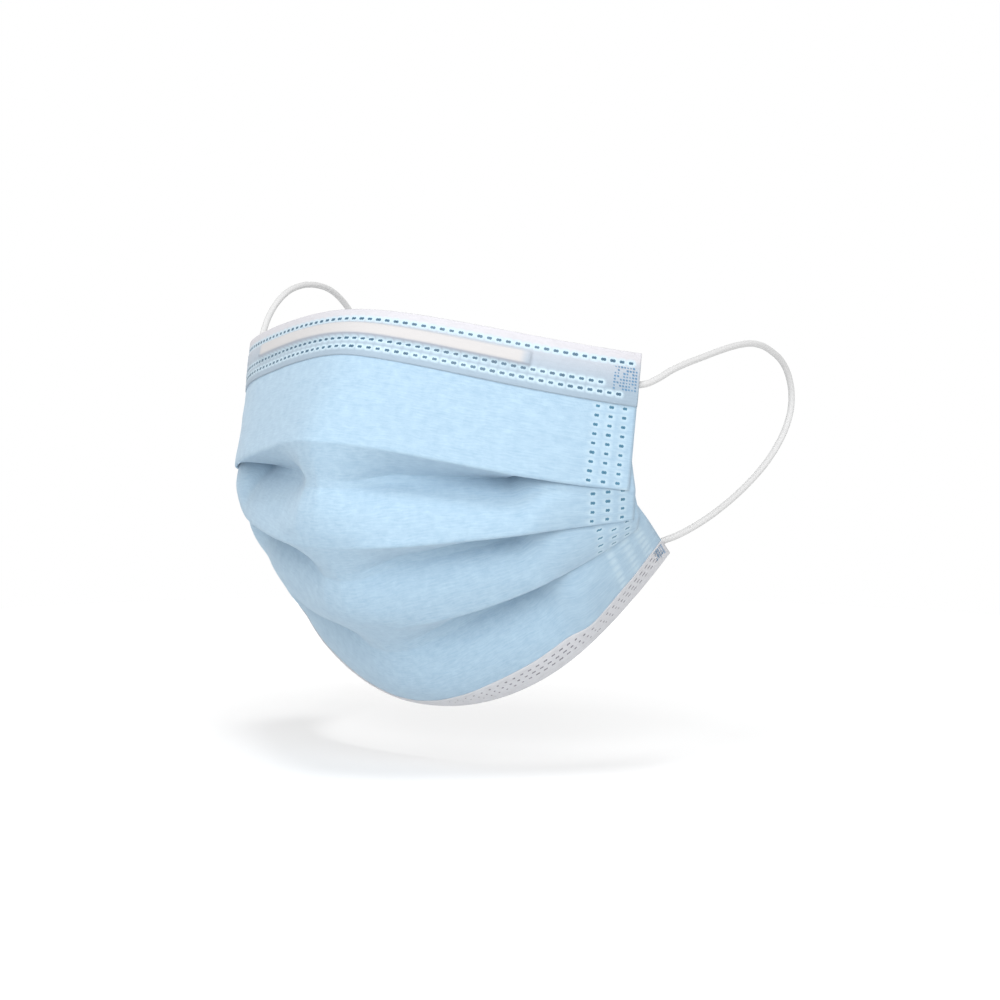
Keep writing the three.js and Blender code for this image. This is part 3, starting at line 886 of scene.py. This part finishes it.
def knitted_elastic(colours, loops, name="knitted polyester elastic"):
    """Polyester and spandex knitted round: matt white, with fine ribs along and small stitches."""
    material, tree, output = new_material(name)
    uv = add_node(tree, "ShaderNodeUVMap", uv_map="cloth")
    scaled = add_node(
        tree, "ShaderNodeMapping",
        {"Vector": uv, "Scale": (1 / loops.rib_pitch, 1 / loops.rib_pitch, 1.0)},
    )
    stitch = add_node(
        tree, "ShaderNodeTexWave", {"Vector": scaled, "Scale": 0.35, "Distortion": 0.4, "Detail": 1.0},
        bands_direction="DIAGONAL",
    ).outputs["Fac"]
    shade = shaded(colours.elastic, 0.96)
    colour = add_node(
        tree, "ShaderNodeMix", {"Factor": stitch, "A": shade, "B": colours.elastic}, data_type="RGBA",
    )
    finish_material(tree, output, colour, 0.85, stitch, 0.01 * MM, sheen=0.1)
    return material


# Pieces


def body_cloth(scene):
    """The blue cloth with its pleats, blue outside and white on the wearer's side."""
    cloth = Cloth(scene.mask_cloth)
    sizes, weld, hem = scene.mask_cloth, scene.mask_weld, scene.mask_hem
    rows = cloth.rows
    points = rows.reshape(-1, 3)
    marks = [mark for mark in side_marks(cloth, hem, weld) if mark["shown"]]
    near = nearness(points, marks, weld)
    outward = np.broadcast_to(cloth.outward(cloth.share), rows.shape).reshape(-1, 3)
    points = points - outward * (near * weld.depth)[:, None]
    width = np.broadcast_to(cloth.share * sizes.flat_half_width, rows.shape[:2])
    height = np.broadcast_to(cloth.run.mean(axis=1)[:, None], rows.shape[:2])
    coordinates = np.stack([width, -height], axis=-1).reshape(-1, 2)
    materials = [blue_nonwoven(scene.mask_colours), white_nonwoven(scene.mask_colours)]
    made = mesh_object(
        "body_cloth", points, grid_faces(*rows.shape[:2]), materials, coordinates, {"weld": near},
    )
    add_wall(made, sizes.wall, material_offset=1, material_offset_rim=0)
    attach(made, "root")
    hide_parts("pleated_panel")
    return made


HEM_WALL = 0.35 * MM
HEM_EDGE_LIFT = 0.3 * MM  # middle of the body cloth to the pressed free edge of a hem
HEM_EDGE_RUN = 1.5 * MM  # stretch over which a hem comes down to its pressed edge
HEM_STEP = 0.55 * MM
HEM_FOLD_STEPS = 6
HEM_COLUMNS = {"top": 340, "bottom": 260}
OVER_WIRE = 1.95 * MM  # middle of the body cloth to the hem where the wire pushes it out
WIRE_RISE = 0.8 * MM  # stretch beside the wire over which the hem comes down again


def hem_object(name, cloth, edge, sections, material, weld, out, shares=None):
    """A strip of cloth folded round an edge. Each section is its distance from the edge and its height
    above the middle of the body cloth, which may change along the edge. shares are named functions of the
    length along the edge and the distance from it."""
    half = cloth.half_run(edge)
    points, places, level = [], [], []
    for distance, out_of in sections:
        for length in np.linspace(-half, half, HEM_COLUMNS[edge]):
            share = cloth.share_at(edge, length)
            point, _, outward, _ = cloth.place(share, distance, edge)
            points.append(point + outward * out_of(length))
            places.append((length, distance))
            level.append(cloth.outward(np.array([share]))[0])
    marks = place_marks(cloth, hem_marks(cloth, edge, weld), edge, out)
    near = nearness(points, marks, weld)
    points = np.array(points) - np.array(level) * (near * weld.depth)[:, None]
    values = {"weld": near}
    for key, share_of in (shares or {}).items():
        values[key] = [share_of(*place) for place in places]
    faces = grid_faces(len(sections), HEM_COLUMNS[edge])
    made = mesh_object(name, points, faces, [material], np.array(places), values)
    return add_wall(made, HEM_WALL)


def fold_sections(height, inner, out):
    """Sections of a hem: up the wearer's side, round the edge, and down the outer side."""
    sections = [(inner * part, lambda _: -out) for part in (1.0, 0.66, 0.33)]
    for index in range(HEM_FOLD_STEPS + 1):
        angle = math.pi * index / HEM_FOLD_STEPS
        sections.append((-out * math.sin(angle), lambda _, a=angle: -out * math.cos(a)))
    count = int(height / HEM_STEP)
    for index in range(1, count + 1):
        distance = height * index / count
        thinning = (out - HEM_EDGE_LIFT) * smooth_step(height - HEM_EDGE_RUN, height, distance)
        sections.append((distance, lambda _, t=thinning: out - t))
    return sections


def top_hem(scene):
    """The folded inner ply at the top edge, standing out over the nose wire."""
    cloth = Cloth(scene.mask_cloth)
    hem, out = scene.mask_hem, scene.mask_hem.lift
    wire_end = hem.wire_length / 2

    def wire_span(length, _):
        return float(1 - smooth_step(wire_end, wire_end + 1.2 * MM, abs(length)))

    def beside_wire(distance):
        return abs(distance - hem.wire_inset - hem.wire_width / 2) - hem.wire_width / 2

    def over_wire(length, distance):
        beside = smooth_step(-0.1 * MM, WIRE_RISE, beside_wire(distance))
        return out + (OVER_WIRE - out) * float(wire_span(length, distance) * (1 - beside))

    def wire_tint(length, distance):
        ends = 1 - smooth_step(wire_end - 3 * MM, wire_end, abs(length))
        return float(ends * (1 - smooth_step(-0.2 * MM, 0.5 * MM, beside_wire(distance))))

    sections = []
    for distance, out_of in fold_sections(hem.top_height, hem.inner_height, out):
        if out_of(0) == out:
            out_of = functools.partial(over_wire, distance=distance)
        sections.append((distance, out_of))
    made = hem_object(
        "top_hem_cloth", cloth, "top", sections, top_hem_cloth(scene.mask_colours, hem),
        scene.mask_weld, out, {"wire": wire_tint, "span": wire_span},
    )
    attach(made, "root")
    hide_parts("top_hem")
    return made


def bottom_hem(scene):
    """The folded inner ply at the bottom edge."""
    hem = scene.mask_hem
    sections = fold_sections(hem.bottom_height, hem.inner_height, hem.lift)
    made = hem_object(
        "bottom_hem_cloth", Cloth(scene.mask_cloth), "bottom", sections[::-1],
        bottom_hem_cloth(scene.mask_colours), scene.mask_weld, hem.lift,
    )
    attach(made, "root")
    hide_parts("bottom_hem")
    return made


def nose_wire(scene):
    """The coated wire stays as the CAD node, inside the top hem."""
    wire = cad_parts["nose_wire"]
    wire.data.materials.clear()
    wire.data.materials.append(coated_wire(scene.mask_colours))


SIDE_MARK_LENGTH = 1.6 * MM
SLANTED_MARK_LENGTH = 2 * MM


def weld_lines(scene):
    """All weld marks: three rows on each hem and three columns down each side, seen from the front and
    from the wearer's side, and the corner dots."""
    cloth = Cloth(scene.mask_cloth)
    hem, weld, colours = scene.mask_hem, scene.mask_weld, scene.mask_colours
    film = fused_film("fused blue film", colours.weld)
    side_film = fused_film("fused side film", colours.weld_side)
    grey_film = fused_film("fused grey film", colours.weld_lower)
    pale_film = fused_film("fused pale film", colours.weld_inner)
    dot_film = fused_film("knurled blue film", colours.corner_dot)
    half_wall = scene.mask_cloth.wall / 2
    hem_face = hem.lift + HEM_WALL / 2
    on_hem = hem_face - weld.depth + weld.height / 2
    thin = mark_sizes(weld, weld.length, weld.thin_width, weld.overlap)

    rows = {edge: hem_marks(cloth, edge, weld) for edge in HEM_ROWS}
    top_places = place_marks(cloth, rows["top"], "top", on_hem)
    bottom_places = place_marks(cloth, rows["bottom"], "bottom", on_hem)
    wide = mark_sizes(weld, weld.length, weld.width, weld.overlap)
    made = [
        stand_marks("top_hem_welds", top_places, film, wide),
        stand_marks("bottom_hem_welds", bottom_places, grey_film, thin),
    ]

    all_side = side_marks(cloth, hem, weld)
    pressed = [mark for mark in all_side if mark["shown"]]
    lift = half_wall - weld.depth + weld.height / 2
    raised = [{**mark, "point": mark["point"] + mark["outward"] * lift} for mark in pressed]
    thick_marks = [mark for mark in raised if mark["panel"] < 2]
    thin_marks = [mark for mark in raised if mark["panel"] == 2]
    side_sizes = mark_sizes(weld, SIDE_MARK_LENGTH, weld.width, weld.overlap)
    slanted_sizes = mark_sizes(weld, SLANTED_MARK_LENGTH, weld.thin_width, weld.overlap)
    made.append(stand_marks("side_welds", thick_marks, side_film, side_sizes))
    made.append(stand_marks("slanted_side_welds", thin_marks, side_film, slanted_sizes))

    inner_marks = [mark for mark in all_side if mark["shown_inside"]]
    for edge in HEM_ROWS:
        kept = [row for row in rows[edge] if row[1] > hem.inner_height + weld.width]
        inner_marks += place_marks(cloth, kept, edge, 0)
    near = nearness([mark["point"] for mark in inner_marks], pressed, weld)
    inside = []
    for mark, dip in zip(inner_marks, near):
        lift = half_wall + dip * weld.depth + weld.height / 2
        point = mark["point"] - mark["outward"] * lift
        inside.append({"point": point, "across": mark["across"], "outward": -mark["outward"]})
    made.append(stand_marks("inner_welds", inside, pale_film, thin))

    patches = []
    for edge, insets, distances in CORNER_PATCHES:
        patch = corner_marks(cloth, edge, insets, distances, weld)
        patches += place_marks(cloth, patch, edge, hem_face + weld.height / 4)
    dots = mark_sizes(weld, weld.dot, weld.dot, 0.0, unevenness=0.3)
    made.append(stand_marks("corner_welds", patches, dot_film, dots))
    for piece in made:
        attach(piece, "root")
    return made


TUBE_SIDES = 16
PATH_STEP = 0.4 * MM
RIB_HEIGHT = 0.006  # share of the radius
END_STEPS = 14
END_BEHIND = 1.3 * MM  # middle of the body cloth to the middle of a flattened end
END_FLAT_UNTIL = 0.72  # share of a flattened end after which it turns round again
END_GAP = 0.3 * MM  # clear space between the folded hem and a flattened end


def ring_faces(rings):
    """Faces of a closed tube made of rings of points, with a face over each end."""
    faces = []
    for ring in range(rings - 1):
        first, second = ring * TUBE_SIDES, (ring + 1) * TUBE_SIDES
        for step in range(TUBE_SIDES):
            after = (step + 1) % TUBE_SIDES
            faces.append((first + step, first + after, second + after, second + step))
    last = (rings - 1) * TUBE_SIDES
    faces.append(tuple(range(TUBE_SIDES))[::-1])
    faces.append(tuple(range(last, last + TUBE_SIDES)))
    return faces


def tube(name, path, loops, material):
    """A closed round tube along a path, with faint knitted ribs."""
    radius = loops.diameter / 2
    forward = unit(np.gradient(path, axis=0))
    sideways = [squared_to(np.array([1.0, 0.0, 0.0]), forward[0])]
    for way in forward[1:]:
        sideways.append(squared_to(sideways[-1], way))
    other = np.cross(forward, sideways)
    run = run_along(path)
    points, places = [], []
    for ring, centre in enumerate(path):
        for step in range(TUBE_SIDES):
            angle = 2 * math.pi * step / TUBE_SIDES
            wave = math.sin(run[ring] / loops.rib_pitch * 2 * math.pi + (step % 2) * math.pi)
            spoke = math.cos(angle) * sideways[ring] + math.sin(angle) * other[ring]
            points.append(centre + radius * (1 + RIB_HEIGHT * wave) * spoke)
            places.append((run[ring], angle * radius))
    return mesh_object(name, points, ring_faces(len(path)), [material], np.array(places))


def smooth_path(points, step):
    """A smooth curve through points, with even steps."""
    points = np.array(points)
    before = np.vstack([2 * points[0] - points[1], points, 2 * points[-1] - points[-2]])
    fine = []
    for index in range(1, len(before) - 2):
        p0, p1, p2, p3 = before[index - 1:index + 3]
        for part in np.linspace(0, 1, 12, endpoint=False):
            fine.append(0.5 * (
                2 * p1 + (p2 - p0) * part + (2 * p0 - 5 * p1 + 4 * p2 - p3) * part ** 2
                + (3 * p1 - p0 - 3 * p2 + p3) * part ** 3
            ))
    fine.append(points[-1])
    fine = np.array(fine)
    run = run_along(fine)
    even = np.linspace(0, run[-1], int(run[-1] / step) + 1)
    return np.stack([np.interp(even, run, fine[:, axis]) for axis in range(3)], axis=-1), run[-1]


def ear_loops(scene):
    """The two round elastic loops, one for each ear."""
    loops = scene.mask_loops
    material = knitted_elastic(scene.mask_colours, loops)
    for side, route in (("left", LEFT_LOOP), ("right", RIGHT_LOOP)):
        path, length = smooth_path(route, PATH_STEP)
        made = tube(f"elastic_loop_{side}", path, loops, material)
        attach(made, "root")
        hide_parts(f"ear_loop_{side}")


def loop_ends(scene):
    """The flattened ends of the loops, welded flat on the wearer's side of each corner."""
    cloth = Cloth(scene.mask_cloth)
    hem, loops = scene.mask_hem, scene.mask_loops
    material = knitted_elastic(scene.mask_colours, loops, "flattened polyester elastic")
    lower_rise = hem.inner_height + END_GAP + loops.end_width / 2
    corners = (("upper", "top", loops.upper_drop), ("lower", "bottom", lower_rise))
    for place, edge, distance in corners:
        half = cloth.half_run(edge)
        for side, sign, route in (("left", 1, LEFT_LOOP), ("right", -1, RIGHT_LOOP)):
            tip = np.array(route[0] if place == "upper" else route[-1])
            spine, across_rows = [], []
            for part in np.linspace(0, 1, END_STEPS):
                length = sign * (half - loops.end_inset - loops.end_length * (1 - part))
                share = cloth.share_at(edge, length)
                point, down, outward, _ = cloth.place(share, distance, edge)
                spine.append(point - outward * END_BEHIND)
                across_rows.append((down, -outward))
            made = flat_end(f"elastic_end_{place}_{side}", spine, across_rows, tip, loops, material)
            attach(made, "root")
            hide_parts(f"loop_end_{place}_{side}")


def flat_end(name, spine, directions, tip, loops, material):
    """A flattened cord end that turns round again towards its tip, where the loop goes on."""
    spine = [*spine, tip]
    directions = [*directions, directions[-1]]
    points, places = [], []
    for index, (centre, (down, inward)) in enumerate(zip(spine, directions)):
        along = index / (len(spine) - 1)
        flat = 1 - smooth_step(END_FLAT_UNTIL, 1.0, along)
        wide = loops.diameter / 2 + (loops.end_width - loops.diameter) / 2 * flat
        thick = loops.diameter / 2 + (loops.end_thickness - loops.diameter) / 2 * flat
        for step in range(TUBE_SIDES):
            angle = 2 * math.pi * step / TUBE_SIDES
            points.append(centre + down * wide * math.cos(angle) + inward * thick * math.sin(angle))
            places.append((along * loops.end_length, angle * loops.diameter / 2))
    made = mesh_object(name, points, ring_faces(len(spine)), [material], np.array(places))
    turn_outward(made)
    return made


def turn_outward(made):
    """Makes the faces of a closed mesh point out."""
    work = bmesh.new()
    work.from_mesh(made.data)
    bmesh.ops.recalc_face_normals(work, faces=work.faces)
    work.to_mesh(made.data)
    work.free()


# Stage


AZIMUTH = math.radians(33.5)
ELEVATION = math.radians(5)
CAMERA_PLACE = (0.5331, -0.7302, 0.0205)
FOCAL_PIXELS = 2925
IMAGE_PIXELS = 1000
FLOOR_HEIGHT = -0.146
FLOOR_MIDDLE = (0.0, 0.03)
FLOOR_RADIUS = 0.45
FLOOR_CORNERS = 96
# Each light's name, place, point that it aims at, diameter and power
LIGHTS = (
    ("key", (0.75, -1.36, 0.88), (0, 0, -0.05), 1.4, 22.5),
    ("top", (0.25, -0.38, 1.15), (0, 0.03, -0.05), 0.35, 7.5),
)


def area_light(name, place, aim, size, power):
    data = bpy.data.lights.new(name, "AREA")
    data.shape = "DISK"
    data.size = size
    data.energy = power
    light = bpy.data.objects.new(name, data)
    bpy.context.scene.collection.objects.link(light)
    light.location = place
    light.rotation_mode = "QUATERNION"
    light.rotation_quaternion = (Vector(aim) - Vector(place)).to_track_quat("-Z", "Y")


def stage(scene):
    """Camera at the photograph's angle, pale floor in white surroundings, and soft light."""
    data = bpy.data.cameras.new("camera")
    data.sensor_width = 36
    data.lens = 36 * FOCAL_PIXELS / IMAGE_PIXELS
    data.clip_start, data.clip_end = 0.05, 50
    camera = bpy.data.objects.new("camera", data)
    scene.collection.objects.link(camera)
    back = Vector((
        math.sin(AZIMUTH) * math.cos(ELEVATION), -math.cos(AZIMUTH) * math.cos(ELEVATION),
        math.sin(ELEVATION),
    ))
    camera.location = CAMERA_PLACE
    camera.rotation_mode = "QUATERNION"
    camera.rotation_quaternion = (-back).to_track_quat("-Z", "Y")
    scene.camera = camera

    # White floor with a painted glow that grows towards its rim, so that it fades into the white round it
    material, tree, output = new_material("white floor with painted glow")
    shader = finish_material(tree, output, scene.mask_colours.floor, 0.9)
    place = add_node(tree, "ShaderNodeTexCoord").outputs["Object"]
    middle = (*FLOOR_MIDDLE, FLOOR_HEIGHT)
    away = add_node(tree, "ShaderNodeVectorMath", {0: place, 1: middle}, operation="DISTANCE")
    glow = add_node(
        tree, "ShaderNodeMapRange",
        {"Value": away.outputs["Value"], "From Min": 0.12, "From Max": FLOOR_RADIUS,
         "To Min": 0.44, "To Max": 0.8},
    ).outputs["Result"]
    tree.links.new(glow, shader.inputs["Emission Strength"])
    rim = []
    for corner in range(FLOOR_CORNERS):
        angle = 2 * math.pi * corner / FLOOR_CORNERS
        spoke = (FLOOR_RADIUS * math.cos(angle), FLOOR_RADIUS * math.sin(angle))
        rim.append((FLOOR_MIDDLE[0] + spoke[0], FLOOR_MIDDLE[1] + spoke[1], FLOOR_HEIGHT))
    floor = mesh_object("floor", rim, [tuple(range(len(rim)))], [material])

    world = bpy.data.worlds.new("white studio")
    scene.world = world
    world.use_nodes = True
    tree = world.node_tree
    tree.nodes.clear()
    place = add_node(tree, "ShaderNodeTexCoord").outputs["Generated"]
    height = add_node(tree, "ShaderNodeSeparateXYZ", {"Vector": place}).outputs["Z"]
    strength = add_node(
        tree, "ShaderNodeMapRange",
        {"Value": height, "From Min": 0.2, "From Max": 0.6, "To Min": 1.0, "To Max": 0.4},
    )
    sky = add_node(tree, "ShaderNodeBackground", {"Color": (1, 1, 1, 1), "Strength": strength})
    add_node(tree, "ShaderNodeOutputWorld", {"Surface": sky})
    for light in LIGHTS:
        area_light(*light)
    scene.view_settings.view_transform = "Standard"


# Add-on


class MaskOperator:
    """What the operators share."""

    bl_options = {"REGISTER", "UNDO"}

    def execute(self, context):
        self.build(context.scene)
        return {"FINISHED"}


class MASK_OT_stage(MaskOperator, bpy.types.Operator):
    """Sets the camera, the floor and the light"""

    bl_idname = "mask.stage"
    bl_label = "Stage"
    build = staticmethod(stage)


class MASK_OT_ear_loops(MaskOperator, bpy.types.Operator):
    """Makes the two elastic ear loops"""

    bl_idname = "mask.ear_loops"
    bl_label = "Ear loops"
    build = staticmethod(ear_loops)


class MASK_OT_loop_ends(MaskOperator, bpy.types.Operator):
    """Makes the four flattened ends of the loops"""

    bl_idname = "mask.loop_ends"
    bl_label = "Loop ends"
    build = staticmethod(loop_ends)


class MASK_OT_body_cloth(MaskOperator, bpy.types.Operator):
    """Makes the pleated body cloth"""

    bl_idname = "mask.body_cloth"
    bl_label = "Body cloth"
    build = staticmethod(body_cloth)


class MASK_OT_hems(MaskOperator, bpy.types.Operator):
    """Makes the top and bottom hems"""

    bl_idname = "mask.hems"
    bl_label = "Hems"

    @staticmethod
    def build(scene):
        top_hem(scene)
        bottom_hem(scene)


class MASK_OT_nose_wire(MaskOperator, bpy.types.Operator):
    """Finishes the nose wire"""

    bl_idname = "mask.nose_wire"
    bl_label = "Nose wire"
    build = staticmethod(nose_wire)


class MASK_OT_weld_lines(MaskOperator, bpy.types.Operator):
    """Makes the weld marks"""

    bl_idname = "mask.weld_lines"
    bl_label = "Weld lines"

    @staticmethod
    def build(scene):
        marks = weld_lines(scene)


OPERATORS = (
    MASK_OT_stage, MASK_OT_ear_loops, MASK_OT_loop_ends, MASK_OT_body_cloth, MASK_OT_hems,
    MASK_OT_nose_wire, MASK_OT_weld_lines,
)


class MASK_PT_sidebar(bpy.types.Panel):
    """Lists the steps of the mask"""

    bl_idname = "MASK_PT_sidebar"
    bl_label = "Pleated face mask"
    bl_space_type = "VIEW_3D"
    bl_region_type = "UI"
    bl_category = "Mask"

    def draw(self, context):
        for operator in OPERATORS:
            self.layout.operator(operator.bl_idname)
        for group in GROUPS:
            settings = getattr(context.scene, group)
            box = self.layout.box()
            for name in settings.bl_rna.properties.keys():
                if name not in ("rna_type", "name"):
                    box.prop(settings, name)


GROUPS = {
    "mask_cloth": MaskClothSizes,
    "mask_hem": MaskHemSizes,
    "mask_weld": MaskWeldSizes,
    "mask_loops": MaskLoopSizes,
    "mask_colours": MaskColours,
}


def register():
    for name, group in GROUPS.items():
        bpy.utils.register_class(group)
        setattr(bpy.types.Scene, name, PointerProperty(type=group))
    for operator in OPERATORS:
        bpy.utils.register_class(operator)
    bpy.utils.register_class(MASK_PT_sidebar)


def unregister():
    bpy.utils.unregister_class(MASK_PT_sidebar)
    for operator in reversed(OPERATORS):
        bpy.utils.unregister_class(operator)
    for name, group in GROUPS.items():
        delattr(bpy.types.Scene, name)
        bpy.utils.unregister_class(group)


def main():
    register()
    bpy.ops.mask.stage()
    bpy.ops.mask.ear_loops()
    bpy.ops.mask.loop_ends()
    bpy.ops.mask.body_cloth()
    bpy.ops.mask.hems()
    bpy.ops.mask.nose_wire()
    bpy.ops.mask.weld_lines()


if __name__ == "__main__":
    main()
